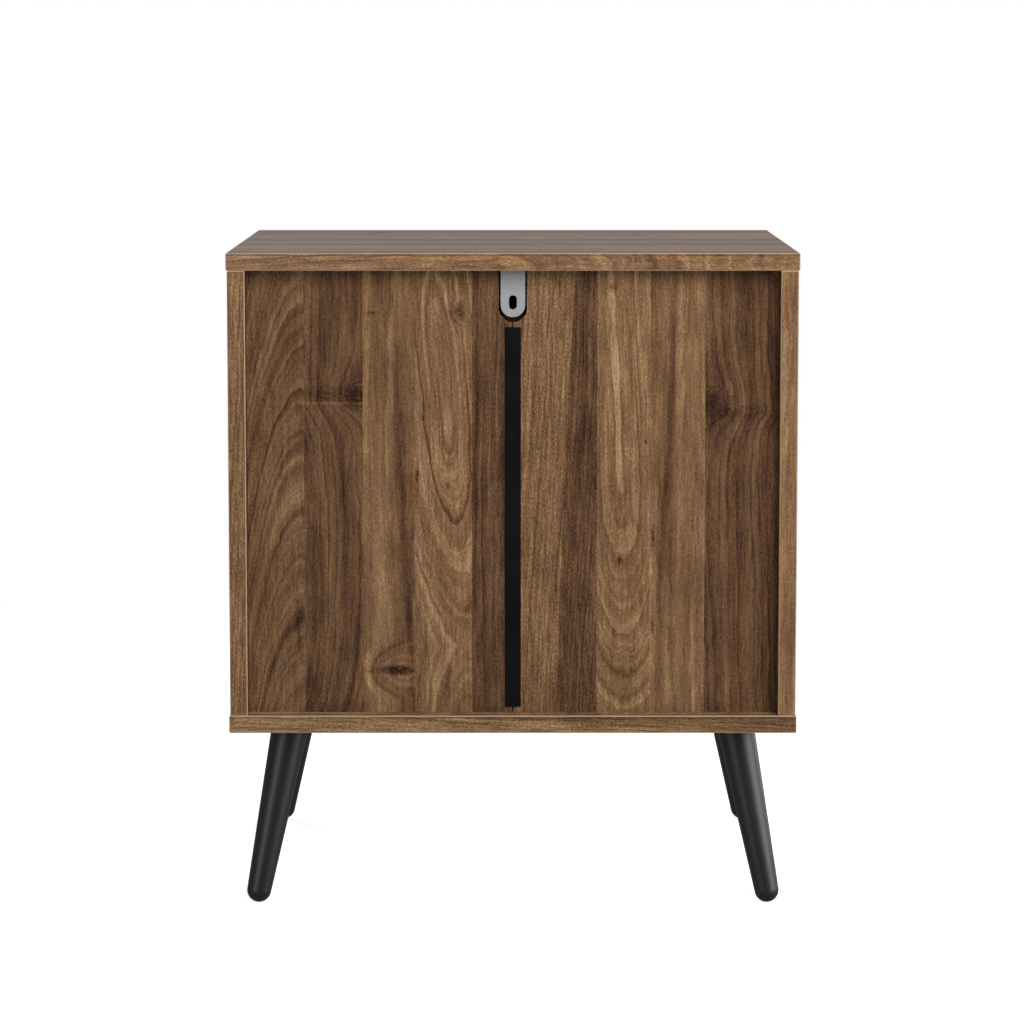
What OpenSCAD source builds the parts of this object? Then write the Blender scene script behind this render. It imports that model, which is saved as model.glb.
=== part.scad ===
// Nightstand with two drawers, a back in two halves and four splayed legs, in millimetres.
// The front faces -Y and the floor is at Z = 0. Left and right are seen from in front.

/* [Case] */
// Width of the top and bottom panels
width = 500; // [440:5:600]
// Depth of all four case panels
depth = 390; // [370:5:480]
// Height of the case without its legs
case_h = 423.5; // [400:0.5:520]
// Thickness of the case panels and drawer fronts
board_t = 15.5; // [15:0.5:18]
// How far the side panels stand in from the ends of the top
side_inset = 1; // [0:0.5:3]
// Chamfer along the edges of every panel
edge_ease = 0.9; // [0.3:0.1:1]

/* [Back] */
// Thickness of the back panels
back_t = 3; // [2.5:0.5:4]
// Distance from the rear edges of the case to the back panels
back_recess = 18; // [12:0.5:24]
// Depth of the grooves that hold the back panels and drawer bottoms
groove_depth = 5; // [4:0.5:6]
// Room left in a groove, across its width and at its floor
groove_room = 0.2; // [0.1:0.05:0.4]
// Width of the joining strip
strip_w = 14; // [10:0.5:20]
// Thickness of each flange of the joining strip
strip_flange_t = 1; // [0.8:0.1:1.5]
// Thickness of the web that runs between the back panels
strip_web_t = 0.8; // [0.6:0.1:1.2]
// Distance from the notch to the top of the joining strip
strip_top_gap = 4.2; // [2:0.2:10]
// Distance from the bottom panel to the lower end of the joining strip
strip_foot_gap = 5; // [4:0.5:20]

/* [Bracket] */
// Width of the tip-over bracket
bracket_w = 21.4; // [18:0.2:28]
// Thickness of the bracket's steel
bracket_t = 2; // [1.5:0.5:3]
// How far the tab hangs below the top panel
bracket_drop = 41.8; // [34:0.2:50]
// Length of the flange under the top panel
bracket_flange_l = 30; // [26:1:40]
// Width of the slot in the tab
slot_w = 7; // [5:0.2:8]
// Length of the slot from end to end
slot_l = 12.5; // [10:0.1:16]
// Height of the slot's centre above the end of the tab
slot_up = 13; // [11:0.5:17]
// Distance between the two screws in the flange
bracket_screw_pitch = 11; // [9:1:14]
// Gap between the tab and the sides of the notch
notch_side_gap = 1.7; // [0.5:0.1:3]
// Gap between the tab and the bottom of the notch
notch_end_gap = 4.6; // [2:0.2:8]

/* [Legs] */
// Height of the bottom panel above the floor
leg_h = 158; // [120:1:220]
// Diameter of a leg where its axis meets the bottom panel
leg_top_d = 33.6; // [28:0.2:40]
// Diameter of a leg's domed end
leg_foot_d = 21.6; // [18:0.2:26]
// How far the foot stands out beyond the top of the leg, along the width and along the depth
leg_run = 27.9; // [15:0.1:35]
// Distance from the end of the bottom panel to the centre of a foot
foot_inset_x = 23.4; // [14:0.2:60]
// Distance from the front or rear edge to the centre of a foot
foot_inset_y = 27; // [14:0.5:60]
// Width of the square leg plates
plate_w = 68; // [60:1:72]
// Thickness of the leg plates
plate_t = 2.2; // [1.5:0.1:3]
// Corner radius of the leg plates
plate_corner_r = 6; // [3:1:10]
// Distance between the screws of a leg plate
plate_screw_pitch = 52; // [50:1:54]
// Diameter of the angled boss on a leg plate
boss_d = 27; // [24:1:28]
// Distance from the bottom panel down the leg's axis to the top of the leg
boss_l = 8; // [8:0.5:12]
// Diameter of the hanger bolt in a leg
hanger_d = 8; // [6:1:10]
// Depth of the hanger bolt in the leg
hanger_in = 32; // [25:1:45]

/* [Drawers] */
// Gap around the drawer fronts
drawer_gap = 2.5; // [1.5:0.5:4]
// Thickness of the drawer sides and backs
drawer_board_t = 12; // [12:1:14]
// Height of the drawer sides
drawer_side_h = 140; // [120:5:150]
// Length of the drawer sides
drawer_side_l = 340; // [320:5:345]
// Height of the drawer sides above the lower edge of the front
drawer_up = 14; // [8:1:20]
// Thickness of the drawer bottoms
drawer_bottom_t = 3; // [2.5:0.5:4]
// Height of the drawer bottom above the lower edge of the sides
drawer_bottom_up = 10; // [8:1:14]

/* [Slides] */
// Length of both members of a slide
slide_l = 300; // [280:5:310]
// Length of the ball cage: the drawer travels by the slide's length less this
cage_l = 90; // [80:5:120]
// Room that a slide takes between the case and a drawer
slide_w = 12; // [12:0.5:13]
// Height of the cabinet member
slide_h = 35; // [32:1:45]
// Thickness of the steel of the slides
slide_t = 1.2; // [1:0.1:1.4]
// Height of the lips that keep the balls in
slide_lip = 1.2; // [0.8:0.1:1.5]
// Distance from the drawer front to the slide
slide_front_gap = 4; // [2:1:8]
// Thickness of the ball cage's strip
cage_t = 0.6; // [0.5:0.1:0.8]
// Diameter of the balls
ball_d = 5; // [4.6:0.1:5]
// Balls in each row of a cage
balls_per_row = 5; // [3:1:6]
// Gap between a ball and each race
ball_gap = 0.4; // [0.3:0.05:0.4]
// Gap between a ball and its pocket in the cage
pocket_gap = 0.15; // [0.1:0.05:0.2]
// Gap between a cage and each member beside it
cage_gap = 0.3; // [0.3:0.05:0.4]

/* [Knobs] */
// Diameter of a knob
knob_d = 32; // [26:1:40]
// How far a knob stands out from the drawer front
knob_out = 24; // [20:1:30]
// Thickness of a knob's head
knob_head_t = 11; // [8:1:13]
// Rounding of the rim of the head
knob_round = 3.5; // [2:0.5:5]
// Diameter of a knob's neck
knob_neck_d = 13; // [10:1:16]
// Diameter of the foot of the neck, which bears on the drawer front
knob_foot_d = 17; // [17:1:20]
// Thickness of the foot of the neck
knob_foot_t = 2; // [1:0.5:3]
// Depth of the screw in a knob
knob_screw_in = 12; // [8:1:14]

/* [Fasteners] */
// Gap around a fastener in its hole
fit_gap = 0.05; // [0.02:0.01:0.1]
// Diameter of the cam locks of the case
cam_d = 15; // [12:1:16]
// Depth of the cam locks of the case
cam_t = 12; // [11:0.5:12.5]
// Diameter of the cam locks of the drawers
drawer_cam_d = 12; // [10:1:13]
// Depth of the cam locks of the drawers
drawer_cam_t = 9.5; // [9:0.5:10]
// Distance from the edge of a board to the centre of its cam locks
cam_back = 24; // [20:1:34]
// Diameter of the cam bolts
cam_bolt_d = 6; // [5:0.5:6]
// Length of a cam bolt in the board that it is screwed into
cam_bolt_in = 11; // [8:0.5:12]
// Diameter of the head of a cam bolt
cam_head_d = 7; // [6.5:0.1:7.2]
// Thickness of the head of a cam bolt
cam_head_t = 2; // [1.5:0.1:2.5]
// Diameter of the dowels
dowel_d = 8; // [6:1:8]
// Length of a dowel in the top or bottom panel
dowel_short = 9; // [7:0.5:11]
// Length of a dowel in the side panel
dowel_long = 21; // [15:1:24]
// Distance from the front and rear edges to the cam locks
cam_inset = 55; // [45:1:70]
// Distance from the front and rear edges to the dowels
dowel_inset = 90; // [80:1:110]
// Distance from the upper and lower edges of a drawer's sides to its cams and back screws
drawer_joint_inset = 32; // [28:1:36]
// Diameter of the wood screws
screw_d = 4; // [3:0.5:4]
// Diameter of the head of the wood screws
screw_head_d = 7.4; // [6.6:0.2:8]
// Thickness of the head of the wood screws
screw_head_t = 1.4; // [1.2:0.1:1.5]
// Length of a wood screw in the wood
screw_in = 10; // [8:0.5:10.5]
// Length of the point of the screws
screw_tip = 2; // [1:0.5:3]
// Diameter of the screws through the drawer sides into the back
back_screw_d = 5; // [4:0.5:5]
// Length of those screws in the drawer back
back_screw_in = 30; // [20:1:40]

/* [Hidden] */
$fn = 48;

// How far a cut runs past the face it starts from
overrun = 1;
left = -1;
right = 1;
front = -1;
rear = 1;

// Case
case_shift = knob_out / 2;
case_top = leg_h + case_h;
inner_low = leg_h + board_t;
inner_high = case_top - board_t;
inner_x = width / 2 - side_inset - board_t;
side_mid_x = inner_x + board_t / 2;
front_y = -depth / 2;
rear_y = depth / 2;

// Back and bracket
back_rear_y = rear_y - back_recess;
back_front_y = back_rear_y - back_t;
back_seam = strip_web_t + groove_room;
tongue = groove_depth - groove_room;
notch_r = bracket_w / 2 + notch_side_gap;
notch_l = bracket_drop + notch_end_gap;
bracket_screw_y = back_rear_y - bracket_t - (bracket_flange_l - bracket_t) / 2;

// Legs: the axis runs from the centre of the domed end to the bottom panel
leg_foot_r = leg_foot_d / 2;
foot_x = width / 2 - foot_inset_x;
foot_y = depth / 2 - foot_inset_y;
leg_axis_l = norm([leg_run, leg_run, leg_h - leg_foot_r]);
leg_tilt = acos((leg_h - leg_foot_r) / leg_axis_l);
leg_l = leg_axis_l - boss_l;
leg_end_r = leg_foot_r + (leg_top_d / 2 - leg_foot_r) * leg_l / leg_axis_l;
hanger_top = leg_axis_l - hanger_d / 2 * tan(leg_tilt) - groove_room;

// Drawers
front_h = (inner_high - inner_low - 3 * drawer_gap) / 2;
lower_z = inner_low + drawer_gap;
upper_z = lower_z + front_h + drawer_gap;
box_front_y = front_y + board_t;
box_rear_y = box_front_y + drawer_side_l;
box_x = inner_x - slide_w;
box_inner_x = box_x - drawer_board_t;
slide_up = drawer_up + drawer_side_h / 2;

// Slides, in the distance from the case side
slide_front_y = box_front_y + slide_front_gap;
slide_screw_shares = [0.12, 0.5, 0.88];
cage_near = slide_t + screw_head_t + cage_gap + pocket_gap;
drawer_member_near = cage_near + cage_t + cage_gap;
ball_across = cage_near + cage_t + 2 * pocket_gap + ball_d / 2;
ball_up = slide_h / 2 - slide_t - ball_gap - ball_d / 2;
drawer_member_h = 2 * (ball_up - ball_d / 2 - ball_gap);
cage_far = ball_across + ball_d / 2 + pocket_gap + cage_t;

// Diameter of a screw's point, as a share of its shank
point_share = 0.25;
// Recess in a screw head, as shares of the head
recess_l_share = 0.62;
recess_w_share = 0.17;
recess_depth_share = 0.6;
// Cam bolt recess, as shares of the cam
cam_recess_share = 0.5;
cam_mark_share = 0.09;

module walnut() color([0.45, 0.32, 0.22]) children();
module foil() color([0.23, 0.20, 0.17]) children();
module black() color([0.12, 0.12, 0.12]) children();
module steel() color([0.62, 0.62, 0.63]) children();
module beech() color([0.80, 0.66, 0.48]) children();

// Shared forms

module mirrored(side) mirror([side < 0 ? 1 : 0, 0, 0]) children();

module eased_rectangle(a, b) {
    e = edge_ease;
    polygon([[e, 0], [a - e, 0], [a, e], [a, b - e], [a - e, b], [e, b], [0, b - e], [0, e]]);
}

// A panel between two corners, with every edge chamfered
module board(low, high) {
    size = high - low;
    translate(low) intersection() {
        linear_extrude(size.z) eased_rectangle(size.x, size.y);
        translate([0, size.y, 0]) rotate([90, 0, 0])
            linear_extrude(size.y) eased_rectangle(size.x, size.z);
        rotate([90, 0, 90]) linear_extrude(size.x) eased_rectangle(size.y, size.z);
    }
}

module block(low, high) translate(low) cube(high - low);

// A screw along +Z, with the underside of its head at the origin
module screw(shank_d, length, head_d = screw_head_d, head_t = screw_head_t) {
    difference() {
        union() {
            translate([0, 0, -head_t]) cylinder(d = head_d, h = head_t);
            cylinder(d = shank_d, h = length - screw_tip);
            translate([0, 0, length - screw_tip])
                cylinder(d1 = shank_d, d2 = shank_d * point_share, h = screw_tip);
        }
        for (turn = [0, 90]) rotate([0, 0, turn])
            translate([-head_d * recess_l_share / 2, -head_d * recess_w_share / 2, -head_t - overrun])
                cube([head_d * recess_l_share, head_d * recess_w_share,
                    head_t * recess_depth_share + overrun]);
    }
}

// A hole along +Z for a fastener of the diameter d, with its mouth at the origin
module hole(d, length) {
    translate([0, 0, -overrun]) cylinder(d = d + 2 * fit_gap, h = length + overrun + fit_gap);
}

module hole_down(d, length) mirror([0, 0, 1]) hole(d, length);

// A cam bolt along +Z: the origin is at the joint, its thread is above it and its head below
module cam_bolt() {
    translate([0, 0, -cam_back]) cylinder(d = cam_bolt_d, h = cam_back + cam_bolt_in);
    translate([0, 0, -cam_back - cam_head_t / 2]) cylinder(d = cam_head_d, h = cam_head_t);
}

// The passage of a cam bolt through the board that holds the cam
module cam_passage() hole_down(cam_head_d, cam_back + cam_head_t);

// A cam lock in the same frame. Its open face is at -X, at the distance near
module cam_lock(d, t, near) {
    translate([-near, 0, -cam_back]) rotate([0, 90, 0]) difference() {
        cylinder(d = d, h = t);
        for (turn = [45, 135]) rotate([0, 0, turn])
            translate([-d * cam_recess_share / 2, -d * cam_mark_share / 2, -overrun])
                cube([d * cam_recess_share, d * cam_mark_share, d * cam_mark_share + overrun]);
        translate([0, 0, near]) rotate([0, -90, 0]) translate([0, 0, cam_back]) cam_passage();
    }
}

module cam_bore(d, t, near) translate([-near, 0, -cam_back]) rotate([0, 90, 0]) hole(d, t);

// Case

// Places its children at each place where a side meets the top and bottom, at the distance inset
// from the front and rear edges. +Z there points out of the side's edge and +X out of the case.
module at_case_joints(inset, sides = [left, right], levels = [-1, 1]) {
    for (side = sides, level = levels, y = [front_y + inset, rear_y - inset])
        mirrored(side) translate([side_mid_x, y, level > 0 ? inner_high : inner_low])
            mirror([0, 0, level > 0 ? 0 : 1]) children();
}

module case_joint_holes(level) {
    at_case_joints(cam_inset, levels = [level]) hole(cam_bolt_d, cam_bolt_in);
    at_case_joints(dowel_inset, levels = [level]) hole(dowel_d, dowel_short);
}

// The groove for the back panels in the top and bottom, and its two in the sides
module back_groove() {
    reach = inner_x + groove_depth;
    block([-reach, back_front_y - groove_room, inner_low - groove_depth],
        [reach, back_rear_y, inner_high + groove_depth]);
}

module top_panel() walnut() difference() {
    board([-width / 2, front_y, inner_high], [width / 2, rear_y, case_top]);
    back_groove();
    case_joint_holes(1);
    at_bracket_screws() hole(screw_d, bracket_t + screw_in);
}

module bottom_panel() walnut() difference() {
    board([-width / 2, front_y, leg_h], [width / 2, rear_y, inner_low]);
    back_groove();
    case_joint_holes(-1);
    for (x = [left, right], y = [front, rear])
        at_plate_screws(x, y) hole(screw_d, plate_t + screw_in);
}

module side_panel(side) walnut() difference() {
    mirrored(side) board([inner_x, front_y, inner_low], [inner_x + board_t, rear_y, inner_high]);
    back_groove();
    at_case_joints(cam_inset, [side]) {
        cam_passage();
        cam_bore(cam_d, cam_t, board_t / 2);
    }
    at_case_joints(dowel_inset, [side]) hole_down(dowel_d, dowel_long);
    for (z = [lower_z, upper_z]) at_slide_screws(side, z) hole(screw_d, slide_t + screw_in);
}

module case_dowels() beech() at_case_joints(dowel_inset)
    translate([0, 0, -dowel_long]) cylinder(d = dowel_d, h = dowel_long + dowel_short);

module case_cam_bolts() steel() at_case_joints(cam_inset) cam_bolt();

module case_cam_locks() steel() at_case_joints(cam_inset) cam_lock(cam_d, cam_t, board_t / 2);

// Back and bracket

module notch() {
    translate([0, rear_y, inner_high - notch_l + notch_r]) rotate([90, 0, 0])
        cylinder(r = notch_r, h = depth);
    block([-notch_r, front_y, inner_high - notch_l + notch_r], [notch_r, rear_y, case_top]);
}

module back_panel(side) walnut() mirrored(side) difference() {
    block([back_seam / 2, back_front_y, inner_low - tongue],
        [inner_x + tongue, back_rear_y, inner_high + tongue]);
    notch();
}

module back_joining_strip() black() {
    z = [inner_low + strip_foot_gap, inner_high - notch_l - strip_top_gap];
    block([-strip_w / 2, back_rear_y, z[0]], [strip_w / 2, back_rear_y + strip_flange_t, z[1]]);
    block([-strip_web_t / 2, back_front_y - strip_flange_t, z[0]],
        [strip_web_t / 2, back_rear_y + strip_flange_t, z[1]]);
    block([-strip_w / 2, back_front_y - strip_flange_t, z[0]], [strip_w / 2, back_front_y, z[1]]);
}

module at_bracket_screws() {
    for (side = [-1, 1])
        translate([0, bracket_screw_y + side * bracket_screw_pitch / 2, inner_high - bracket_t])
            children();
}

module tip_over_bracket() steel() difference() {
    end_z = inner_high - bracket_drop;
    union() {
        translate([0, back_rear_y, 0]) rotate([90, 0, 0]) linear_extrude(bracket_t) {
            translate([0, end_z + bracket_w / 2]) circle(d = bracket_w);
            translate([-bracket_w / 2, end_z + bracket_w / 2])
                square([bracket_w, bracket_drop - bracket_w / 2]);
        }
        block([-bracket_w / 2, back_rear_y - bracket_flange_l, inner_high - bracket_t],
            [bracket_w / 2, back_rear_y - bracket_t / 2, inner_high]);
    }
    translate([0, back_rear_y + overrun, end_z + slot_up]) rotate([90, 0, 0])
        linear_extrude(bracket_t + 2 * overrun) {
            for (end = [-1, 1]) translate([0, end * (slot_l - slot_w) / 2]) circle(d = slot_w);
            translate([-slot_w / 2, -(slot_l - slot_w) / 2]) square([slot_w, slot_l - slot_w]);
        }
    at_bracket_screws() hole(screw_d, bracket_t + overrun);
}

module bracket_screws() steel() at_bracket_screws() screw(screw_d, bracket_t + screw_in);

// Legs

// +Z runs up the leg's axis from the centre of its domed end
module on_leg_axis(x, y) translate([x * foot_x, y * foot_y, leg_foot_r])
    rotate([0, leg_tilt, atan2(-y, -x)]) children();

module leg(x, y) black() on_leg_axis(x, y) difference() {
    rotate_extrude() {
        intersection() {
            circle(r = leg_foot_r);
            translate([0, -leg_foot_r]) square(leg_foot_r);
        }
        polygon([[0, 0], [leg_foot_r, 0], [leg_end_r, leg_l - edge_ease],
            [leg_end_r - edge_ease, leg_l], [0, leg_l]]);
    }
    translate([0, 0, leg_l]) hole_down(hanger_d, hanger_in);
}

module at_plate(x, y)
    translate([x * (foot_x - leg_run), y * (foot_y - leg_run), leg_h - plate_t]) children();

module at_plate_screws(x, y) at_plate(x, y)
    for (dx = [-1, 1], dy = [-1, 1])
        translate([dx * plate_screw_pitch / 2, dy * plate_screw_pitch / 2, 0]) children();

module leg_plate(x, y) steel() difference() {
    union() {
        at_plate(x, y) linear_extrude(plate_t) {
            square([plate_w - 2 * plate_corner_r, plate_w], center = true);
            square([plate_w, plate_w - 2 * plate_corner_r], center = true);
            for (dx = [-1, 1], dy = [-1, 1])
                translate([dx, dy] * (plate_w / 2 - plate_corner_r)) circle(r = plate_corner_r);
        }
        intersection() {
            on_leg_axis(x, y) translate([0, 0, leg_l]) cylinder(d = boss_d, h = 2 * boss_l);
            at_plate(x, y) translate([-plate_w / 2, -plate_w / 2, -2 * boss_l])
                cube([plate_w, plate_w, 2 * boss_l + plate_t / 2]);
        }
    }
    on_leg_axis(x, y) translate([0, 0, leg_l]) hole(hanger_d, 2 * boss_l);
    at_plate_screws(x, y) hole(screw_d, plate_t + overrun);
}

module leg_hanger_bolts() steel()
    for (x = [left, right], y = [front, rear]) on_leg_axis(x, y)
        translate([0, 0, leg_l - hanger_in]) cylinder(d = hanger_d, h = hanger_top - leg_l + hanger_in);

module leg_plate_screws() steel()
    for (x = [left, right], y = [front, rear])
        at_plate_screws(x, y) screw(screw_d, plate_t + screw_in);

// Slides. The two members and the cage are drawn on the right, as outlines of the distance from
// the case side and the height, and run along the depth.

// A channel with its web's outer face at web, its flanges' ends at tip, and lips turned inwards
module channel(web, tip, h, t, lip = 0) {
    in = tip > web ? t : -t;
    end = lip > 0
        ? [[tip, h / 2 - t - lip], [tip - in, h / 2 - t - lip], [tip - in, h / 2 - t]]
        : [[tip, h / 2 - t]];
    upper = concat([[web, h / 2], [tip, h / 2]], end, [[web + in, h / 2 - t]]);
    lower = [for (n = [len(upper) - 1 : -1 : 0]) [upper[n].x, -upper[n].y]];
    polygon(concat(upper, lower));
}

module slide_length(side, z, start, length) mirrored(side)
    translate([inner_x, start, z + slide_up]) mirror([1, 0, 0])
        rotate([90, 0, 0]) mirror([0, 0, 1]) linear_extrude(length) children();

// Local +Z points from the drawer into the case side, from the inner face of the cabinet member
module at_slide_screws(side, z) mirrored(side)
    for (share = slide_screw_shares)
        translate([inner_x - slide_t, slide_front_y + share * slide_l, z + slide_up])
            rotate([0, 90, 0]) children();

// Local +Z points from the case into the drawer side, from the inner face of the drawer member
module at_drawer_slide_screws(side, z) mirrored(side)
    for (share = slide_screw_shares)
        translate([box_x + slide_t, slide_front_y + share * slide_l, z + slide_up])
            rotate([0, -90, 0]) children();

module cabinet_slide(side, z) steel() difference() {
    slide_length(side, z, slide_front_y, slide_l) channel(0, cage_far, slide_h, slide_t, slide_lip);
    at_slide_screws(side, z) hole(screw_d, slide_t + overrun);
}

module cabinet_slide_screws() steel()
    for (side = [left, right], z = [lower_z, upper_z])
        at_slide_screws(side, z) screw(screw_d, slide_t + screw_in);

module drawer_slide(side, z) steel() difference() {
    slide_length(side, z, slide_front_y, slide_l)
        channel(slide_w, drawer_member_near, drawer_member_h, slide_t);
    at_drawer_slide_screws(side, z) hole(screw_d, slide_t + overrun);
}

module at_balls(side, z) {
    pitch = cage_l / balls_per_row;
    for (row = [-1, 1], n = [0 : balls_per_row - 1]) mirrored(side)
        translate([inner_x - ball_across, slide_front_y + (slide_l - cage_l) / 2 + (n + 1 / 2) * pitch,
            z + slide_up + row * ball_up]) children();
}

module ball_cage(side, z) steel() difference() {
    slide_length(side, z, slide_front_y + (slide_l - cage_l) / 2, cage_l)
        channel(cage_near, cage_far, 2 * ball_up + cage_t, cage_t);
    at_balls(side, z) cylinder(d = ball_d + 2 * pocket_gap, h = ball_d, center = true);
}

module slide_balls(z) steel() for (side = [left, right]) at_balls(side, z) sphere(d = ball_d);

// Drawers. z is the lower edge of the drawer front.

// Local +Z points from a drawer's side into its front and +X out of the drawer
module at_drawer_joints(side, z) mirrored(side)
    for (up = [drawer_joint_inset, drawer_side_h - drawer_joint_inset])
        translate([box_x - drawer_board_t / 2, box_front_y, z + drawer_up + up])
            rotate([90, 0, 0]) children();

// Local +Z points from the outside of a drawer's side into its back
module at_back_screws(side, z) mirrored(side)
    for (up = [drawer_joint_inset, drawer_side_h - drawer_joint_inset])
        translate([box_x, box_rear_y - drawer_board_t / 2, z + drawer_up + up])
            rotate([0, -90, 0]) children();

// The groove for the drawer bottom in the front, the sides and the back
module bottom_groove(z) {
    low = z + drawer_up + drawer_bottom_up;
    block([-box_inner_x - groove_depth, box_front_y - groove_depth, low],
        [box_inner_x + groove_depth, box_rear_y - drawer_board_t + groove_depth,
            low + drawer_bottom_t + groove_room]);
}

module drawer_front(z) walnut() difference() {
    board([-inner_x + drawer_gap, front_y, z], [inner_x - drawer_gap, box_front_y, z + front_h]);
    bottom_groove(z);
    for (side = [left, right]) at_drawer_joints(side, z) hole(cam_bolt_d, cam_bolt_in);
    at_knob(z) translate([0, 0, -board_t]) hole(screw_d, board_t + overrun);
}

module drawer_side(side, z) foil() difference() {
    mirrored(side) board([box_inner_x, box_front_y, z + drawer_up],
        [box_x, box_rear_y, z + drawer_up + drawer_side_h]);
    bottom_groove(z);
    at_drawer_joints(side, z) {
        cam_passage();
        cam_bore(drawer_cam_d, drawer_cam_t, drawer_board_t / 2);
    }
    at_back_screws(side, z) hole(back_screw_d, drawer_board_t + overrun);
    at_drawer_slide_screws(side, z) hole(screw_d, slide_t + screw_in);
}

module drawer_back(z) foil() difference() {
    board([-box_inner_x, box_rear_y - drawer_board_t, z + drawer_up],
        [box_inner_x, box_rear_y, z + drawer_up + drawer_side_h]);
    bottom_groove(z);
    for (side = [left, right])
        at_back_screws(side, z) hole(back_screw_d, drawer_board_t + back_screw_in);
}

module drawer_bottom(z) foil() {
    low = z + drawer_up + drawer_bottom_up;
    block([-box_inner_x - tongue, box_front_y - tongue, low],
        [box_inner_x + tongue, box_rear_y - drawer_board_t + tongue, low + drawer_bottom_t]);
}

module drawer_slide_screws(z) steel() for (side = [left, right])
    at_drawer_slide_screws(side, z) screw(screw_d, slide_t + screw_in);

module drawer_cam_bolts(z) steel() for (side = [left, right]) at_drawer_joints(side, z) cam_bolt();

module drawer_cam_locks(z) steel() for (side = [left, right])
    at_drawer_joints(side, z) cam_lock(drawer_cam_d, drawer_cam_t, drawer_board_t / 2);

module drawer_back_screws(z) steel() for (side = [left, right])
    at_back_screws(side, z) screw(back_screw_d, drawer_board_t + back_screw_in);

// Local +Z points out of the middle of the drawer front
module at_knob(z) translate([0, front_y, z + front_h / 2]) rotate([90, 0, 0]) children();

module drawer_knob(z) black() at_knob(z) difference() {
    rotate_extrude() {
        square([knob_foot_d / 2, knob_foot_t]);
        square([knob_neck_d / 2, knob_out - knob_head_t + overrun]);
        translate([0, knob_out - knob_head_t]) {
            square([knob_d / 2 - knob_round, knob_head_t]);
            translate([0, knob_round]) square([knob_d / 2, knob_head_t - 2 * knob_round]);
            for (up = [knob_round, knob_head_t - knob_round])
                translate([knob_d / 2 - knob_round, up]) circle(r = knob_round);
        }
    }
    hole(screw_d, knob_screw_in);
}

module drawer_knob_screw(z) steel() at_knob(z) translate([0, 0, -board_t])
    screw(screw_d, board_t + knob_screw_in);

// Moves the case back so that the knobs and the case together are centred on the origin
module placed() translate([0, case_shift, 0]) children();

placed() top_panel();
placed() bottom_panel();
placed() side_panel(left);  // left_side_panel
placed() side_panel(right);  // right_side_panel
placed() back_panel(left);  // left_back_panel
placed() back_panel(right);  // right_back_panel
placed() back_joining_strip();
placed() tip_over_bracket();
placed() bracket_screws();
placed() case_dowels();
placed() case_cam_bolts();
placed() case_cam_locks();
placed() leg(left, front);  // front_left_leg
placed() leg(right, front);  // front_right_leg
placed() leg(left, rear);  // rear_left_leg
placed() leg(right, rear);  // rear_right_leg
placed() leg_plate(left, front);  // front_left_leg_plate
placed() leg_plate(right, front);  // front_right_leg_plate
placed() leg_plate(left, rear);  // rear_left_leg_plate
placed() leg_plate(right, rear);  // rear_right_leg_plate
placed() leg_hanger_bolts();
placed() leg_plate_screws();
placed() cabinet_slide(left, upper_z);  // upper_left_cabinet_slide
placed() cabinet_slide(right, upper_z);  // upper_right_cabinet_slide
placed() cabinet_slide(left, lower_z);  // lower_left_cabinet_slide
placed() cabinet_slide(right, lower_z);  // lower_right_cabinet_slide
placed() cabinet_slide_screws();
placed() drawer_front(upper_z);  // upper_drawer_front
placed() drawer_side(left, upper_z);  // upper_drawer_left_side
placed() drawer_side(right, upper_z);  // upper_drawer_right_side
placed() drawer_back(upper_z);  // upper_drawer_back
placed() drawer_bottom(upper_z);  // upper_drawer_bottom
placed() drawer_knob(upper_z);  // upper_drawer_knob
placed() drawer_knob_screw(upper_z);  // upper_drawer_knob_screw
placed() drawer_slide(left, upper_z);  // upper_drawer_left_slide
placed() drawer_slide(right, upper_z);  // upper_drawer_right_slide
placed() drawer_slide_screws(upper_z);  // upper_drawer_slide_screws
placed() drawer_cam_bolts(upper_z);  // upper_drawer_cam_bolts
placed() drawer_cam_locks(upper_z);  // upper_drawer_cam_locks
placed() drawer_back_screws(upper_z);  // upper_drawer_back_screws
placed() ball_cage(left, upper_z);  // upper_left_ball_cage
placed() ball_cage(right, upper_z);  // upper_right_ball_cage
placed() slide_balls(upper_z);  // upper_slide_balls
placed() drawer_front(lower_z);  // lower_drawer_front
placed() drawer_side(left, lower_z);  // lower_drawer_left_side
placed() drawer_side(right, lower_z);  // lower_drawer_right_side
placed() drawer_back(lower_z);  // lower_drawer_back
placed() drawer_bottom(lower_z);  // lower_drawer_bottom
placed() drawer_knob(lower_z);  // lower_drawer_knob
placed() drawer_knob_screw(lower_z);  // lower_drawer_knob_screw
placed() drawer_slide(left, lower_z);  // lower_drawer_left_slide
placed() drawer_slide(right, lower_z);  // lower_drawer_right_slide
placed() drawer_slide_screws(lower_z);  // lower_drawer_slide_screws
placed() drawer_cam_bolts(lower_z);  // lower_drawer_cam_bolts
placed() drawer_cam_locks(lower_z);  // lower_drawer_cam_locks
placed() drawer_back_screws(lower_z);  // lower_drawer_back_screws
placed() ball_cage(left, lower_z);  // lower_left_ball_cage
placed() ball_cage(right, lower_z);  // lower_right_ball_cage
placed() slide_balls(lower_z);  // lower_slide_balls
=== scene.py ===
import math
import bpy
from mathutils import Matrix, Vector

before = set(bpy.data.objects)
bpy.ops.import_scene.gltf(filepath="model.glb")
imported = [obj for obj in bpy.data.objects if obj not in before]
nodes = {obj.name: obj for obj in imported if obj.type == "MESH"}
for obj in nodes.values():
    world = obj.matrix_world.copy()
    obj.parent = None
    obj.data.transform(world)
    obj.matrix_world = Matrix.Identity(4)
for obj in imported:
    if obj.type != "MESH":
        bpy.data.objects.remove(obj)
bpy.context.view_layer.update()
print("frame loaded with", len(nodes), "nodes")

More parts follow.
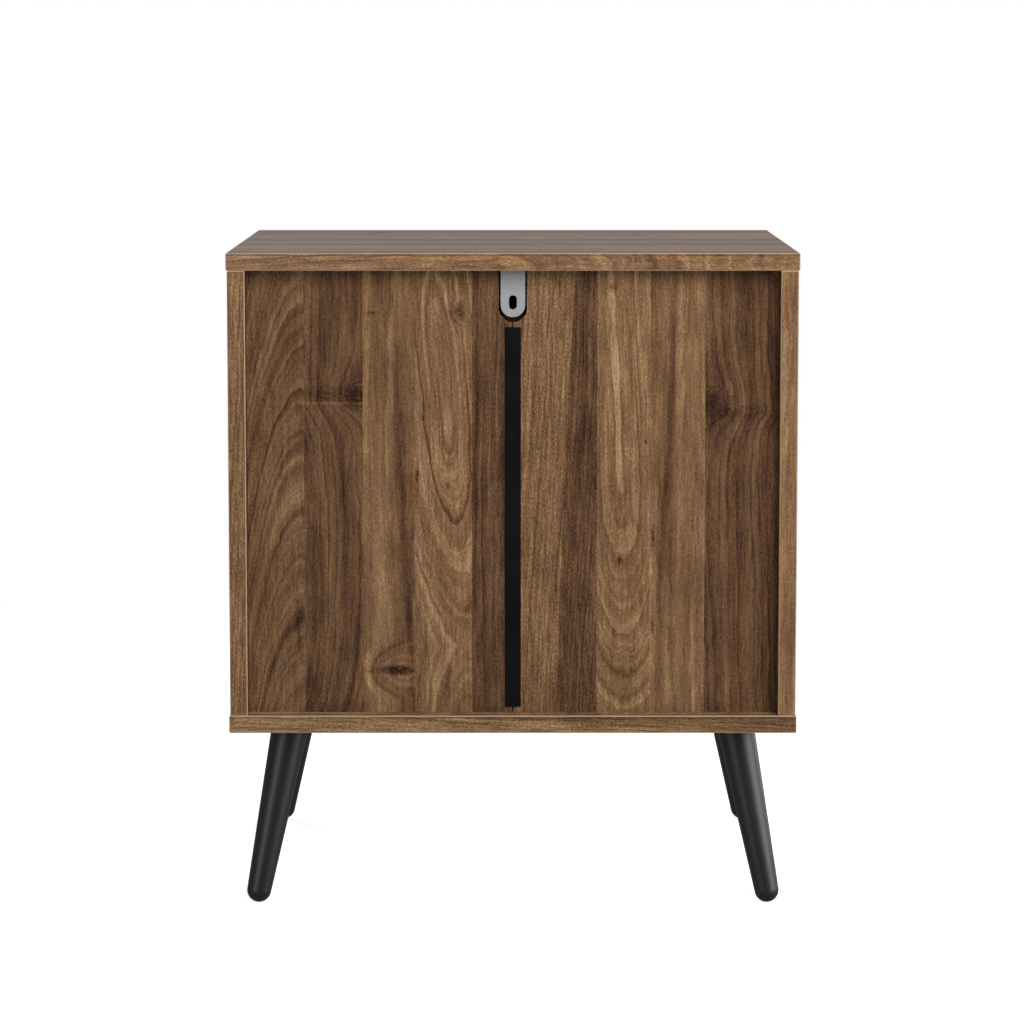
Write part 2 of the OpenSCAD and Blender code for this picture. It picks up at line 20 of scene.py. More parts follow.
# The camera stands behind the nightstand and a little above it, as in the photo
camera = {
    "place": (0.00079, 3.19028, 0.75466),
    "lookDown": 5.731,  # degrees
    "lens": 120.79,  # mm
    "sensor": 36,  # mm
    "shiftUp": -0.1103,  # the photo's frame is lower than the lens's middle
}
cameraData = bpy.data.cameras.new("camera")
cameraData.lens = camera["lens"]
cameraData.sensor_width = camera["sensor"]
cameraData.shift_y = camera["shiftUp"]
cameraObject = bpy.data.objects.new("camera", cameraData)
cameraObject.location = camera["place"]
cameraObject.rotation_euler = (math.radians(90 - camera["lookDown"]), 0, math.pi)
scene = bpy.context.scene
scene.collection.objects.link(cameraObject)
scene.camera = cameraObject
scene.view_settings.view_transform = "Standard"
print("camera made")


class Wire:  # a node's socket that can stand in a sum
    def __init__(self, tree, socket=None):
        self.tree = tree
        self.socket = socket

    def node(self, kind, settings=None, inputs=None, output=0):  # adds any node to the same tree
        made = self.tree.nodes.new(kind if kind.startswith("NodeGroup") else "ShaderNode" + kind)
        for name, value in (settings or {}).items():
            if name == "stops":
                fillRamp(made.color_ramp, value)
            elif name == "spread":
                made.color_ramp.interpolation = value
            else:
                setattr(made, name, value)
        for name, value in (inputs or {}).items():
            if isinstance(value, Wire):
                self.tree.links.new(value.socket, made.inputs[name])
            else:
                made.inputs[name].default_value = value
        return Wire(self.tree, made.outputs[output] if made.outputs else None)

    def outputs(self):  # every output of the same node
        return [Wire(self.tree, socket) for socket in self.socket.node.outputs]

    def math(self, operation, *values):
        return self.node("Math", {"operation": operation}, dict(enumerate(values)))

    def __add__(self, other):
        return self.math("ADD", self, other)

    def __radd__(self, other):
        return self.math("ADD", other, self)

    def __sub__(self, other):
        return self.math("SUBTRACT", self, other)

    def __rsub__(self, other):
        return self.math("SUBTRACT", other, self)

    def __mul__(self, other):
        return self.math("MULTIPLY", self, other)

    def __rmul__(self, other):
        return self.math("MULTIPLY", other, self)

    def __truediv__(self, other):
        return self.math("DIVIDE", self, other)

    def __rtruediv__(self, other):
        return self.math("DIVIDE", other, self)

    def __pow__(self, other):
        return self.math("POWER", self, other)

    def __rpow__(self, other):
        return self.math("POWER", other, self)

    def __gt__(self, other):
        return self.math("GREATER_THAN", self, other)

    def __lt__(self, other):
        return self.math("LESS_THAN", self, other)

    def __abs__(self):
        return self.math("ABSOLUTE", self)


def linear(colour):  # a colour as an image editor gives it, 0 to 255, made into light
    shares = [value / 255 for value in colour]
    return tuple(s / 12.92 if s <= 0.04045 else ((s + 0.055) / 1.055) ** 2.4 for s in shares) + (1,)


def fillRamp(ramp, stops):  # places come before colours, because a move can change the order
    while len(ramp.elements) < len(stops):
        ramp.elements.new(1)
    for element, stop in zip(ramp.elements, stops):
        element.position = stop[0]
    for element, stop in zip(ramp.elements, stops):
        element.color = stop[1]


def noiseAt(place, scale, detail):  # 0 to 1, about 0.5
    return place.node("TexNoise", inputs={"Vector": place, "Scale": scale, "Detail": detail})


def noise(wire, across, along, seed, detail=1):
    return noiseAt(wire.node("CombineXYZ", inputs={0: across, 1: along, 2: seed}), 1, detail)


def smooth(value, low, high, start=0.0, end=1.0):
    return value.node("MapRange", {"interpolation_type": "SMOOTHSTEP"},
                      {0: value, 1: low, 2: high, 3: start, 4: end})


def mixColours(mask, first, second):
    return mask.node("Mix", {"data_type": "RGBA"}, {0: mask, 6: first, 7: second}, output=2)


def axes(wire, output):  # X, Y and Z of one of the coordinates
    return wire.node("SeparateXYZ", inputs={0: wire.node("TexCoord", output=output)}).outputs()


def newMaterial(name):
    material = bpy.data.materials.new(name)
    material.use_nodes = True
    material.node_tree.nodes.clear()
    return material, Wire(material.node_tree)


def finishMaterial(wire, varying, fixed, height, bump):
    inputs = {**fixed, **varying}
    inputs["Normal"] = wire.node("Bump", inputs={
        "Strength": bump["strength"], "Distance": bump["depth"], "Height": height})
    wire.node("OutputMaterial", inputs={"Surface": wire.node("BsdfPrincipled", inputs=inputs)})


def paint(material, *names):
    for name in names:
        data = nodes[name].data
        data.materials.clear()
        data.materials.append(material)


# The walnut print: planks side by side, in mm across and along the grain, as they run over the
# back. Each plank but the first has its left edge (from), which can slant. Each has its lightness
# (tone) and the middle of its figure (across, along), which can lean. Growth rings lie rings per mm
# across. Ovals also have them length per mm along, past a flat middle, and start anew a fold
# further on. Arches have rise and arch instead. Below sweepFrom the grain comes in from the side by
# sweep, and at the foot it goes out by hook. Streaks and threads are the broad and fine shades that
# follow the rings, lines the dark edges of the rings, and fine is the grain.
walnut = {
    "planks": [
        {"tone": 0.52, "across": -183, "rise": 0.055, "arch": 0.003,
         "streaks": 0.6, "threads": 0.75, "lines": 0.35, "fine": 0.85},
        {"from": -183.5, "tone": 0.435, "across": -330, "rings": 0.14, "sweep": 20,
         "sweepFrom": 449, "hook": 20, "streaks": 0.75, "threads": 0.4, "lines": 0.5, "fine": 0.8},
        {"from": -132, "tone": 0.61, "across": -300, "rings": 0.07,
         "streaks": 1.2, "threads": 0.45, "lines": 0.25, "fine": 0.8},
        {"from": -86, "tone": 0.69, "across": -52, "along": 470, "lean": -0.1, "rings": 0.19,
         "length": 0.045, "flat": 40, "fold": 237,
         "streaks": 0.8, "threads": 0.8, "lines": 0.32, "fine": 0.9},
        {"from": -36, "tone": 0.37, "across": -330, "rings": 0.3,
         "streaks": 0.65, "threads": 0.4, "lines": 0.4, "fine": 0.9},
        {"from": 0, "tone": 0.63, "across": -330, "rings": 0.22, "lean": 0.06,
         "streaks": 0.5, "threads": 0.4, "lines": 0.5, "fine": 1.1},
        {"from": 45.5, "slant": 0.047, "tone": 0.36, "across": -330, "rings": 0.3, "lean": 0.05,
         "streaks": 0.6, "threads": 0.4, "lines": 0.4, "fine": 1.0},
        {"from": 74, "tone": 0.70, "across": 93, "along": 570, "lean": -0.03, "rings": 0.19,
         "length": 0.045, "flat": 190, "fold": 420,
         "streaks": 0.8, "threads": 0.8, "lines": 0.32, "fine": 0.9},
        {"from": 121, "tone": 0.685, "across": 300, "rings": 0.07,
         "streaks": 1.0, "threads": 0.45, "lines": 0.25, "fine": 0.8},
        {"from": 169, "tone": 0.42, "across": 330, "rings": 0.14, "lean": -0.05, "sweep": -18,
         "sweepFrom": 440, "streaks": 0.5, "threads": 0.4, "lines": 0.5, "fine": 0.8},
    ],
    "level": 370,  # mm along, where a slant or a lean is nothing
    "sweepHalf": 14,  # mm, over which half of a sweep fades
    "hookLevel": 170,  # mm along
    "hookHalf": 30,  # mm
    "blunt": 0.25,  # how round the ovals' middles are
    "plankShift": 7.3,  # rings from one plank's to the next one's
    # Layers of noise: their size in mm across and along the grain, their seed and how much they do
    "layers": {
        "wander": {"across": 70, "along": 260, "seed": 3.1, "by": 14},
        "ripple": {"across": 16, "along": 70, "seed": 7.7, "by": 3.2},
        "waver": {"across": 9, "along": 22, "seed": 1.3, "detail": 2, "by": 0.7},
        "fibre": {"across": 2.2, "along": 26, "seed": 4.4, "by": 0.55},
        "pore": {"across": 0.8, "along": 2.2, "seed": 2.8, "detail": 0, "by": 0.6},
        "dash": {"across": 1.1, "along": 9, "seed": 8.8, "by": 1},
        "cloud": {"across": 26, "along": 55, "seed": 6.6, "by": 0.3},
        "blotch": {"across": 3.5, "along": 2.4, "seed": 4.9, "detail": 2, "by": 1},
    },
    # The same over the rings, where across is counted in rings
    "ringLayers": {
        "spacing": {"across": 1 / 1.2, "along": 300, "seed": 5.1, "by": 0.8},
        "streak": {"across": 1 / 0.8, "along": 500, "seed": 5.5, "by": 0.75},
        "thread": {"across": 1 / 2.6, "along": 180, "seed": 9.5, "detail": 2, "by": 1},
    },
    "dashes": {"edge": (-0.05, 0.25), "dark": 0.13},
    # A ring's dark edge, in shares of the ring: it comes up slowly and ends at once. Its strength
    # varies by chance.
    "ringLine": {"up": (0.5, 0.96), "down": (0.95, 1.0), "least": 0.15, "vary": 0.35},
    # Soft streaks, with their place across at their level
    "bands": [
        {"plank": 2, "across": -128.5, "slope": 0.0, "wide": 4.5, "light": 0.12},
        {"plank": 2, "across": -98.7, "slope": -0.054, "wide": 5.5, "light": -0.17},
        {"plank": 8, "across": 135.8, "slope": 0.044, "wide": 5.5, "light": -0.16},
        {"plank": 8, "across": 160, "slope": 0.0, "wide": 4.5, "light": 0.1},
    ],
    "bandLevel": 400,  # mm along
    # Knots and marks: how far they reach, how dark they are, how far they push the grain aside, and
    # the rings around them
    "knots": [
        {"plank": 1, "across": -137, "along": 455, "wide": 7, "long": 8, "dark": 0.3, "rings": 3},
        {"plank": 1, "across": -134, "along": 455, "wide": 24, "long": 26, "dark": 0.06,
         "push": 0.8},
        {"plank": 1, "across": -158, "along": 456, "wide": 34, "long": 6.5, "dark": 0.2},
        {"plank": 1, "across": -160, "along": 448.5, "wide": 40, "long": 1.1, "dark": -0.2},
        {"plank": 1, "across": -178, "along": 200, "wide": 14, "long": 16, "dark": 0.14},
        {"plank": 1, "across": -172, "along": 176, "wide": 22, "long": 7, "dark": 0.2},
        {"plank": 9, "across": 174.5, "along": 450, "wide": 7, "long": 9, "dark": 0.3, "rings": 3},
        {"plank": 9, "across": 171, "along": 449, "wide": 26, "long": 30, "dark": 0.06,
         "push": 0.8},
        {"plank": 9, "across": 195, "along": 440, "wide": 30, "long": 6, "dark": 0.16},
        {"plank": 2, "across": -103, "along": 211, "wide": 10, "long": 4, "dark": 0.55},
        {"plank": 2, "across": -103, "along": 211, "wide": 26, "long": 3, "dark": 0.26},
        {"plank": 2, "across": -103, "along": 211, "wide": 22, "long": 16, "dark": 0.06,
         "rings": 4},
        {"plank": 0, "across": -189, "along": 250, "wide": 3, "long": 22, "dark": 0.22},
        {"plank": 3, "across": -59, "along": 205, "wide": 4, "long": 20, "dark": 0.22},
        {"across": -49.2, "along": 528.8, "wide": 6, "long": 8, "dark": 0.34, "rings": 1.5},
        {"across": 88, "along": 550.9, "wide": 3.5, "long": 4, "dark": 0.3},
        {"across": 94.2, "along": 309.9, "wide": 1.4, "long": 3.5, "dark": 0.5},
        {"across": -79, "along": 435, "wide": 1.2, "long": 2.2, "dark": 0.5},
        {"across": -84, "along": 385.5, "wide": 1.4, "long": 5, "dark": 0.5},
        {"across": -57, "along": 375, "wide": 1.3, "long": 3, "dark": 0.5},
        {"across": -124, "along": 528, "wide": 4, "long": 1.2, "dark": 0.35},
        {"across": 123.5, "along": 330, "wide": 1.5, "long": 9, "dark": 0.5},
        {"across": 123.5, "along": 249.7, "wide": 1.3, "long": 5, "dark": 0.4},
        {"across": 117, "along": 414.6, "wide": 1.2, "long": 2.5, "dark": 0.4},
    ],
    "knotEdge": (0.1, 1.8),  # where a knot starts to fade and where it ends, in its own widths
    "knotBlotch": {"edge": (-0.2, 0.2), "share": (0.5, 1.3)},
}


def perPlank(index, key):  # the value that the table gives for the plank
    values = [row.get(key, 0) for row in walnut["planks"]]
    count, low, high = len(values), min(values), max(values)
    greys = [(value - low) / (high - low) for value in values]
    stops = [(n / count, (grey, grey, grey, 1)) for n, grey in enumerate(greys)]
    place = (index + 0.5) / count
    ramp = index.node("ValToRGB", {"stops": stops, "spread": "CONSTANT"}, {0: place})
    return ramp * (high - low) + low


def layer(across, along, look):  # a layer of noise, about 0
    scaled = across / look["across"], along / look["along"]
    return (noise(across, *scaled, look["seed"], look.get("detail", 1)) - 0.5) * look["by"]


def marks(across, along, bent, onPlank):  # how dark the knots are, their rings, the grain they bend
    spot = across.node("CombineXYZ", inputs={0: across, 1: along})
    dark, around = 0.0, 0.0
    for knot in walnut["knots"]:
        scale = (1 / knot["wide"], 1 / knot["long"], 0)
        start = (-knot["across"] / knot["wide"], -knot["along"] / knot["long"], 0)
        place = spot.node("VectorMath", {"operation": "MULTIPLY_ADD"},
                          {0: spot, 1: scale, 2: start})
        reach = place.node("VectorMath", {"operation": "LENGTH"}, {0: place}, output=1)
        near = smooth(reach, *walnut["knotEdge"], 1, 0)
        if "plank" in knot:
            near = near * onPlank[knot["plank"]]
        if "push" in knot:
            bent = bent - (bent - knot["across"]) * near * knot["push"]
        if "rings" in knot:
            around = near * knot["rings"] + around
        dark = near * knot["dark"] + dark
    blotch = layer(across, along, walnut["layers"]["blotch"])
    look = walnut["knotBlotch"]
    return dark * smooth(blotch, *look["edge"], *look["share"]), around, bent


def ringField(across, along, bent, index, fromLevel):  # counts the growth rings
    below = along.math("MAXIMUM", perPlank(index, "sweepFrom") - along, 0) / walnut["sweepHalf"]
    above = along.math("MAXIMUM", along - walnut["hookLevel"], 0) / walnut["hookHalf"]
    bent = bent + perPlank(index, "sweep") * 0.5 ** below + perPlank(index, "hook") * 0.5 ** above
    aside = bent - perPlank(index, "across") - fromLevel * perPlank(index, "lean")
    fromMiddle = aside * perPlank(index, "rings")
    step = along.math("PINGPONG", along - perPlank(index, "along"), perPlank(index, "fold"))
    step = step.math("MAXIMUM", step - perPlank(index, "flat"), 0) * perPlank(index, "length")
    ovals = (fromMiddle * fromMiddle + step * step + walnut["blunt"]) ** 0.5
    arches = aside * aside * perPlank(index, "arch") + along * perPlank(index, "rise")
    waver = layer(across, along, walnut["layers"]["waver"])
    return ovals + arches + index * walnut["plankShift"] + waver


def ringLines(field):  # the dark edge of each ring, some stronger than others
    look = walnut["ringLine"]
    share = field.math("FRACT", field)
    number = field.math("FLOOR", field)
    chance = field.node("TexWhiteNoise", {"noise_dimensions": "1D"}, {"W": number})
    strength = chance * look["vary"] + look["least"]
    return smooth(share, *look["up"]) * smooth(share, *look["down"], 1, 0) * strength


def walnutFigure(across, along):  # the print's lightness, and its fine grain for the bump
    layers, ringLayers = walnut["layers"], walnut["ringLayers"]
    fromLevel = along - walnut["level"]
    index = sum(across - fromLevel * row.get("slant", 0) > row["from"]
                for row in walnut["planks"][1:])
    marked = sorted({row["plank"] for row in walnut["knots"] + walnut["bands"] if "plank" in row})
    onPlank = {plank: index.math("COMPARE", index, plank, 0.5) for plank in marked}
    bent = across + layer(across, along, layers["wander"]) + layer(across, along, layers["ripple"])
    dark, around, bent = marks(across, along, bent, onPlank)
    light = perPlank(index, "tone") - dark
    for band in walnut["bands"]:
        aside = abs(bent - band["across"] - (along - walnut["bandLevel"]) * band["slope"])
        light = light + smooth(aside, 0, band["wide"], band["light"], 0) * onPlank[band["plank"]]
    field = ringField(across, along, bent, index, fromLevel) + around
    field = field + layer(field, along, ringLayers["spacing"])
    light = light + layer(field, along, ringLayers["streak"]) * perPlank(index, "streaks")
    light = light + layer(field, along, ringLayers["thread"]) * perPlank(index, "threads")
    light = light - ringLines(field) * perPlank(index, "lines")
    dashes = smooth(layer(across, along, layers["dash"]), *walnut["dashes"]["edge"])
    fine = layer(across, along, layers["fibre"]) - dashes * walnut["dashes"]["dark"]
    fine = fine + layer(across, along, layers["pore"])
    fine = fine * perPlank(index, "fine")
    return light + fine + layer(across, along, layers["cloud"]), fine


# The figure is one group of nodes, which every board uses at a place of its own in the print
figure = bpy.data.node_groups.new("walnutFigure", "ShaderNodeTree")
sockets = {"Across": "INPUT", "Along": "INPUT", "Light": "OUTPUT", "Fine": "OUTPUT"}
for name, side in sockets.items():
    figure.interface.new_socket(name=name, in_out=side, socket_type="NodeSocketFloat")
start = Wire(figure)
across, along = start.node("NodeGroupInput").outputs()[:2]
start.node("NodeGroupOutput", inputs=dict(enumerate(walnutFigure(across, along))))
print("walnut print made")

# What all the boards have in common
laminate = {
    "palette": [(0.0, (41, 27, 20)), (0.2, (70, 48, 34)), (0.4, (92, 66, 46)),
                (0.6, (114, 85, 59)), (0.8, (137, 107, 76)), (1.0, (164, 134, 101))],
    "faceFrom": 0.9,  # a surface counts as a face where its normal lies this near an axis
    "easedColour": (174, 151, 125),  # of the chamfers and rounded edges between the faces
    "easedShare": 0.85,
    "darkLineColour": (25, 18, 13),  # of the fine dark line under the upper edge of the top and bottom
    "darkLineShare": 0.4,
    "darkLineWide": 1.1,  # mm
    "darkLineDown": 2.0,  # mm
    "varnish": {"Specular IOR Level": 0.0, "Coat Roughness": 0.45},
    "haze": 0.05,
    "rough": {"across": 3, "along": 20, "seed": 2.0, "edge": (0.2, 0.8), "values": (0.5, 0.62)},
    "bump": {"strength": 0.25, "depth": 0.0001},
}
plainBoard = {"lift": 0.0, "levelFaceShade": 0.0, "gloss": 0.0, "darkLine": False}

# Each board's own: how much lighter it is (lift), the painted shade that darkens its level faces
# and how much glossier they are, and for the faces that look along x, y and z the axis across the
# grain, its direction and its start in the print, then the axis along the grain and its start
boards = {
    "walnutBack": {"nodes": ["left_back_panel", "right_back_panel"],
                   "x": ("y", 1, 0, "z", 0),
                   "y": ("x", -1, 0, "z", 0),
                   "z": ("x", -1, 0, "y", 0)},
    "walnutLeftSide": {"nodes": ["left_side_panel"], "lift": 0.05,
                       "x": ("y", -1, 12, "z", -140),
                       "y": ("x", -1, -89.5, "z", 40),
                       "z": ("x", 1, 390, "y", 0)},
    "walnutRightSide": {"nodes": ["right_side_panel"], "lift": 0.03,
                        "x": ("y", 1, -12, "z", 60),
                        "y": ("x", -1, 269.5, "z", 0),
                        "z": ("x", 1, 0, "y", 0)},
    "walnutTop": {"nodes": ["top_panel"], "lift": 0.05, "levelFaceShade": -0.22, "gloss": 0.55,
                  "darkLine": True,
                  "x": ("z", 1, -480, "y", 330),
                  "y": ("z", 1, -470.5, "x", 330),
                  "z": ("y", 1, -12, "x", 330)},
    "walnutBottom": {"nodes": ["bottom_panel"], "lift": 0.14, "levelFaceShade": -0.08, "gloss": 0.4,
                     "darkLine": True,
                     "x": ("z", 1, -70, "y", 330),
                     "y": ("z", 1, -128.5, "x", 260),
                     "z": ("y", 1, -100, "x", 260)},
    "walnutUpperFront": {"nodes": ["upper_drawer_front"],
                         "x": ("z", 1, -600, "y", 330),
                         "y": ("z", 1, -600, "x", 330),
                         "z": ("y", 1, 260, "x", 330)},
    "walnutLowerFront": {"nodes": ["lower_drawer_front"],
                         "x": ("z", 1, -170, "y", 330),
                         "y": ("z", 1, -170, "x", 330),
                         "z": ("y", 1, 300, "x", 330)},
}


def printPlace(places, faces, look):  # where in the print each of the board's faces lies
    across, along = 0.0, 0.0
    for face, on in faces.items():
        acrossAxis, sign, acrossStart, alongAxis, alongStart = look[face]
        across = on * (places[acrossAxis] * sign + acrossStart) + across
        along = on * (places[alongAxis] + alongStart) + along
    return across, along


def walnutBoard(name, look):
    material, start = newMaterial(name)
    places = dict(zip("xyz", [place * 1000 for place in axes(start, "Object")]))  # mm
    faces = dict(zip("xyz", [abs(part) > laminate["faceFrom"] for part in axes(start, "Normal")]))
    across, along = printPlace(places, faces, look)
    light, fine = start.node("Group", {"node_tree": figure}, {0: across, 1: along}).outputs()
    stops = [(place, linear(colour)) for place, colour in laminate["palette"]]
    # painted shade: the level faces, top and underside, are made darker than the board's other
    # faces
    light = light + look["lift"] + faces["z"] * look["levelFaceShade"]
    colour = start.node("ValToRGB", {"stops": stops}, {0: light})
    eased = (1 - sum(faces.values())) * laminate["easedShare"]
    colour = mixColours(eased, colour, linear(laminate["easedColour"]))
    # a fine dark line a little under the upper edge of the board's faces
    if look["darkLine"]:
        upperEdge = max(corner[2] for corner in nodes[look["nodes"][0]].bound_box) * 1000
        fromDarkLine = abs(places["z"] - (upperEdge - laminate["darkLineDown"]))
        darkLine = smooth(fromDarkLine, 0, laminate["darkLineWide"], laminate["darkLineShare"], 0)
        colour = mixColours(darkLine, colour, linear(laminate["darkLineColour"]))
    rough = laminate["rough"]
    patches = noise(start, across / rough["across"], along / rough["along"], rough["seed"])
    coat = laminate["haze"]
    if look["gloss"]:
        coat = faces["z"] * look["gloss"] + coat
    varying = {"Base Color": colour, "Coat Weight": coat,
               "Roughness": smooth(patches, *rough["edge"], *rough["values"])}
    finishMaterial(start, varying, laminate["varnish"], fine, laminate["bump"])
    paint(material, *look["nodes"])


for name, look in boards.items():
    walnutBoard(name, {**plainBoard, **look})
print("walnut boards painted")

# Plain finishes, each with its own mottle and grain
levels = ("upper", "lower")
sides = ("left", "right")
ends = ("front", "rear")
mottling = {"scale": 35, "detail": 3, "grainDetail": 2, "share": 0.6, "edge": (0.3, 0.7),
            "coatRoughness": 0.46, "bump": 0.4}
finishes = {
    "blackLacquer": {
        "colour": (20, 20, 21), "vary": 0.2, "grain": 900, "rough": (0.5, 0.6), "metal": 0,
        "depth": 0.00002, "specular": 0.0, "coat": 0.2,
        "nodes": [f"{end}_{side}_leg" for end in ends for side in sides]},
    "blackPlastic": {
        "colour": (20, 20, 21), "vary": 0.2, "grain": 1500, "rough": (0.55, 0.65), "metal": 0,
        "depth": 0.00004, "specular": 0.0, "nodes": ["back_joining_strip"]},
    "blackKnobPaint": {
        "colour": (22, 22, 23), "vary": 0.2, "grain": 1200, "rough": (0.32, 0.42), "metal": 0,
        "depth": 0.00002, "specular": 0.3, "nodes": [f"{level}_drawer_knob" for level in levels]},
    "blackPowder": {
        "colour": (30, 30, 31), "vary": 0.3, "grain": 1400, "rough": (0.5, 0.62), "metal": 0,
        "depth": 0.00006, "specular": 0.3,
        "nodes": [f"{end}_{side}_leg_plate" for end in ends for side in sides]},
    "greySteel": {
        "colour": (141, 141, 141), "vary": 0.03, "grain": 1800, "rough": (0.55, 0.62), "metal": 0,
        "depth": 0.00001, "specular": 0.2, "nodes": ["tip_over_bracket"]},
    "zincSteel": {
        "colour": (134, 136, 139), "vary": 0.12, "grain": 700, "rough": (0.42, 0.56), "metal": 1,
        "depth": 0.00001, "specular": 0.5,
        "nodes": [f"{level}_{side}_{part}" for level in levels for side in sides
                  for part in ("cabinet_slide", "ball_cage")]
        + [f"{level}_drawer_{side}_slide" for level in levels for side in sides]},
    "platedScrews": {
        "colour": (158, 156, 149), "vary": 0.15, "grain": 1600, "rough": (0.34, 0.48), "metal": 1,
        "depth": 0.00001, "specular": 0.5,
        "nodes": ["bracket_screws", "case_cam_bolts", "leg_hanger_bolts", "leg_plate_screws",
                  "cabinet_slide_screws"]
        + [f"{level}_drawer_{part}" for level in levels
           for part in ("knob_screw", "slide_screws", "cam_bolts", "back_screws")]},
    "castZinc": {
        "colour": (158, 160, 163), "vary": 0.18, "grain": 900, "rough": (0.38, 0.5), "metal": 1,
        "depth": 0.00003, "specular": 0.5,
        "nodes": ["case_cam_locks"] + [f"{level}_drawer_cam_locks" for level in levels]},
    "polishedBalls": {
        "colour": (205, 206, 208), "vary": 0.05, "grain": 600, "rough": (0.08, 0.14), "metal": 1,
        "depth": 0.00001, "specular": 0.5, "nodes": [f"{level}_slide_balls" for level in levels]},
}


def plainFinish(name, look):
    material, start = newMaterial(name)
    place = start.node("TexCoord", output="Object")
    mottle = noiseAt(place, mottling["scale"], mottling["detail"])
    grain = noiseAt(place, look["grain"], mottling["grainDetail"])
    base = linear(look["colour"])[:3]
    darker = tuple(part * (1 - look["vary"]) for part in base) + (1,)
    lighter = tuple(part * (1 + look["vary"]) for part in base) + (1,)
    shade = mottle * mottling["share"] + grain * (1 - mottling["share"])
    colour = mixColours(smooth(shade, *mottling["edge"]), darker, lighter)
    roughness = smooth(grain, *mottling["edge"], *look["rough"])
    fixed = {"Metallic": look["metal"], "Specular IOR Level": look["specular"],
             "Coat Weight": look.get("coat", 0), "Coat Roughness": mottling["coatRoughness"]}
    finishMaterial(start, {"Base Color": colour, "Roughness": roughness}, fixed, grain,
                   {"strength": mottling["bump"], "depth": look["depth"]})
    paint(material, *look["nodes"])


for name, look in finishes.items():
    plainFinish(name, look)
print("black, steel and zinc painted")

# Dark foil on the boards of the drawers, and bare beech dowels: their grain is stretched along
# one axis
grained = {
    "drawerFoil": {
        "light": (62, 54, 47), "dark": (50, 43, 37), "stretch": (1, 0.12, 1), "grain": 900,
        "nodes": [f"{level}_drawer_{part}" for level in levels
                  for part in ("left_side", "right_side", "back", "bottom")]},
    "beech": {
        "light": (205, 172, 128), "dark": (176, 138, 96), "stretch": (1, 1, 0.08), "grain": 1400,
        "nodes": ["case_dowels"]},
}
graining = {"cloud": 14, "cloudDetail": 3, "grainDetail": 2, "share": 0.6, "edge": (0.3, 0.7),
            "rough": (0.52, 0.64), "specular": 0.1, "bump": {"strength": 0.3, "depth": 0.00005}}


def grainedFinish(name, look):
    material, start = newMaterial(name)
    place = start.node("TexCoord", output="Object")
    stretched = start.node("VectorMath", {"operation": "MULTIPLY"}, {0: place, 1: look["stretch"]})
    grain = noiseAt(stretched, look["grain"], graining["grainDetail"])
    cloud = noiseAt(place, graining["cloud"], graining["cloudDetail"])
    shade = grain * graining["share"] + cloud * (1 - graining["share"])
    mask = smooth(shade, *graining["edge"])
    colour = mixColours(mask, linear(look["dark"]), linear(look["light"]))
    roughness = smooth(grain, *graining["edge"], *graining["rough"])
    finishMaterial(start, {"Base Color": colour, "Roughness": roughness},
                   {"Specular IOR Level": graining["specular"]}, grain, graining["bump"])
    paint(material, *look["nodes"])


for name, look in grained.items():
    grainedFinish(name, look)
print("drawer boards and dowels painted")


def backdropSeen(wire):  # 1 where the camera, a reflection or glass shows the backdrop itself
    kinds = ("Camera", "Glossy", "Transmission")
    seen = [wire.node("LightPath", output=f"Is {kind} Ray") for kind in kinds]
    return wire.math("MAXIMUM", wire.math("MAXIMUM", seen[0], seen[1]), seen[2])


# Floor: pale, white where the camera sees it lit, with the nightstand's shadow, and plain white
# further out
floor = {"size": 6.0, "colour": (208, 208, 208), "lift": 0.77, "shadowEnds": (0.9, 1.6)}  # m
bpy.ops.mesh.primitive_plane_add(size=floor["size"])
floorObject = bpy.context.object
floorObject.name = "floor"
material, start = newMaterial("floor")
seen = backdropSeen(start)
plain = start.node("BsdfDiffuse", inputs={"Color": linear(floor["colour"])})
glow = start.node("Emission", inputs={"Strength": seen * floor["lift"]})
lit = start.node("AddShader", inputs={0: plain, 1: glow})
place = start.node("TexCoord", output="Object")
reach = start.node("VectorMath", {"operation": "LENGTH"}, {0: place}, output=1)
white = start.node("Emission", inputs={"Strength": 1.0})
further = smooth(reach, *floor["shadowEnds"]) * seen
both = start.node("MixShader", inputs={0: further, 1: lit, 2: white})
start.node("OutputMaterial", inputs={"Surface": both})
floorObject.data.materials.append(material)

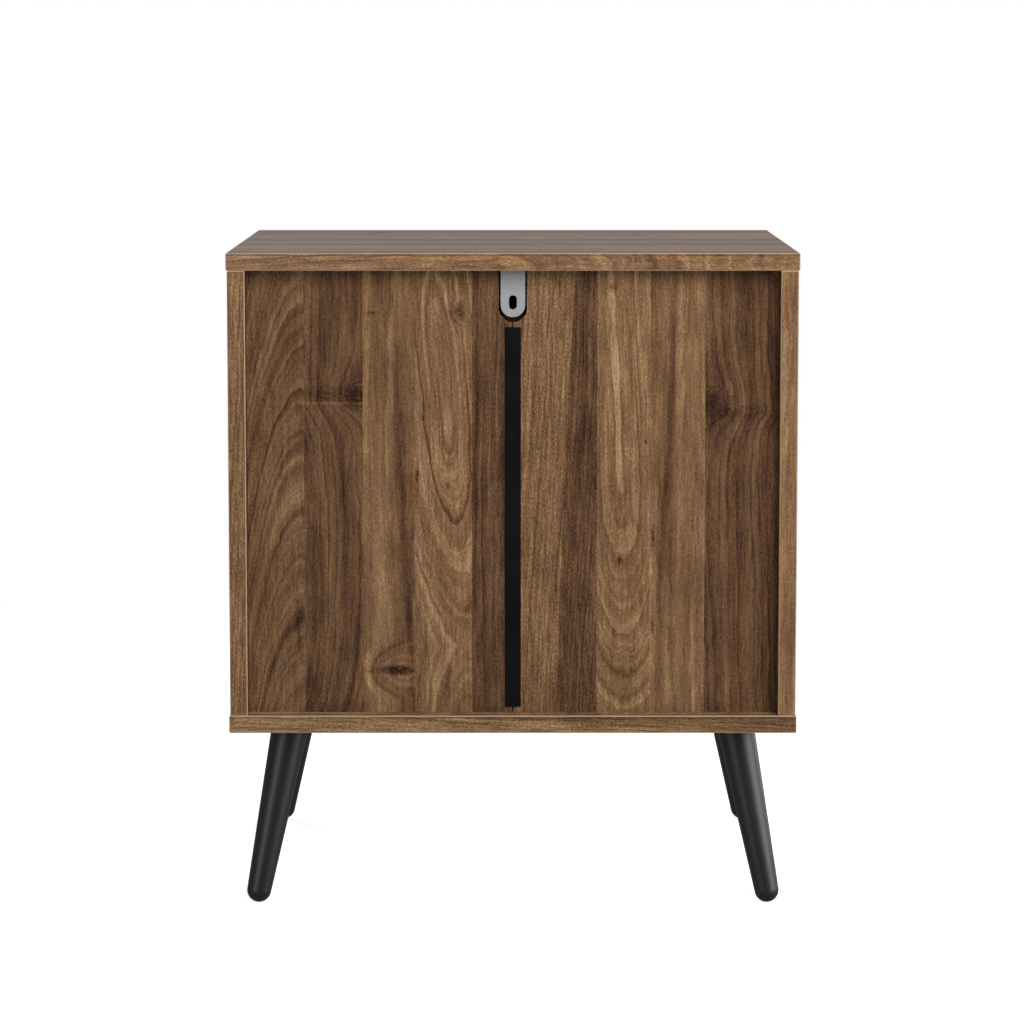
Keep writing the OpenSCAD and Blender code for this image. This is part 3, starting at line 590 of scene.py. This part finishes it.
# The world is white to the camera and in reflections, and lights the nightstand evenly
world = {"light": 0.1}
scene.world = bpy.data.worlds.new("studio")
scene.world.use_nodes = True
scene.world.node_tree.nodes.clear()
start = Wire(scene.world.node_tree)
seen = backdropSeen(start)
strength = seen + (1 - seen) * world["light"]
sky = start.node("Background", inputs={"Color": (1, 1, 1, 1), "Strength": strength})
start.node("OutputWorld", inputs={"Surface": sky})

# Soft boxes: azimuth is seen from the nightstand, and 180 is where the photo's camera stands. Lamps
# light the matt surfaces. Shines give the legs, knobs and metal their highlights, and lie below the
# top, which would mirror them.
lamps = {
    "keyLamp": {
        "azimuth": 203, "height": 1.85, "distance": 2.4, "wide": 1.4, "tall": 2.1, "power": 82},
    "sideLamp": {
        "azimuth": 125, "height": 1.0, "distance": 2.6, "wide": 0.8, "tall": 1.4, "power": 7},
    "frontLeftLamp": {
        "azimuth": 322, "height": 1.2, "distance": 2.6, "wide": 0.9, "tall": 1.5, "power": 38},
    "frontRightLamp": {
        "azimuth": 40, "height": 1.2, "distance": 2.6, "wide": 0.9, "tall": 1.5, "power": 31},
}
shines = {
    "leftShine": {
        "azimuth": 142, "height": 0.28, "distance": 1.45, "wide": 0.45, "tall": 0.52, "power": 18},
    "rightShine": {
        "azimuth": 243, "height": 0.26, "distance": 1.1, "wide": 0.7, "tall": 0.48, "power": 36},
    "frontShine": {
        "azimuth": 296, "height": 0.28, "distance": 1.5, "wide": 0.5, "tall": 0.5, "power": 20},
}
aimHeight = 0.35  # m, at most
for name, lamp in {**lamps, **shines}.items():
    light = bpy.data.lights.new(name, "AREA")
    light.shape = "RECTANGLE"
    light.size = lamp["wide"]
    light.size_y = lamp["tall"]
    light.energy = lamp["power"]
    lampObject = bpy.data.objects.new(name, light)
    lampObject.visible_diffuse = name in lamps
    lampObject.visible_glossy = name in shines
    turn = math.radians(lamp["azimuth"])
    outward = Vector((math.sin(turn), -math.cos(turn), 0)) * lamp["distance"]
    lampObject.location = outward + Vector((0, 0, lamp["height"]))
    aim = Vector((0, 0, min(aimHeight, lamp["height"]))) - lampObject.location
    lampObject.rotation_euler = aim.to_track_quat("-Z", "Y").to_euler()
    scene.collection.objects.link(lampObject)
print("floor, world and lamps made")
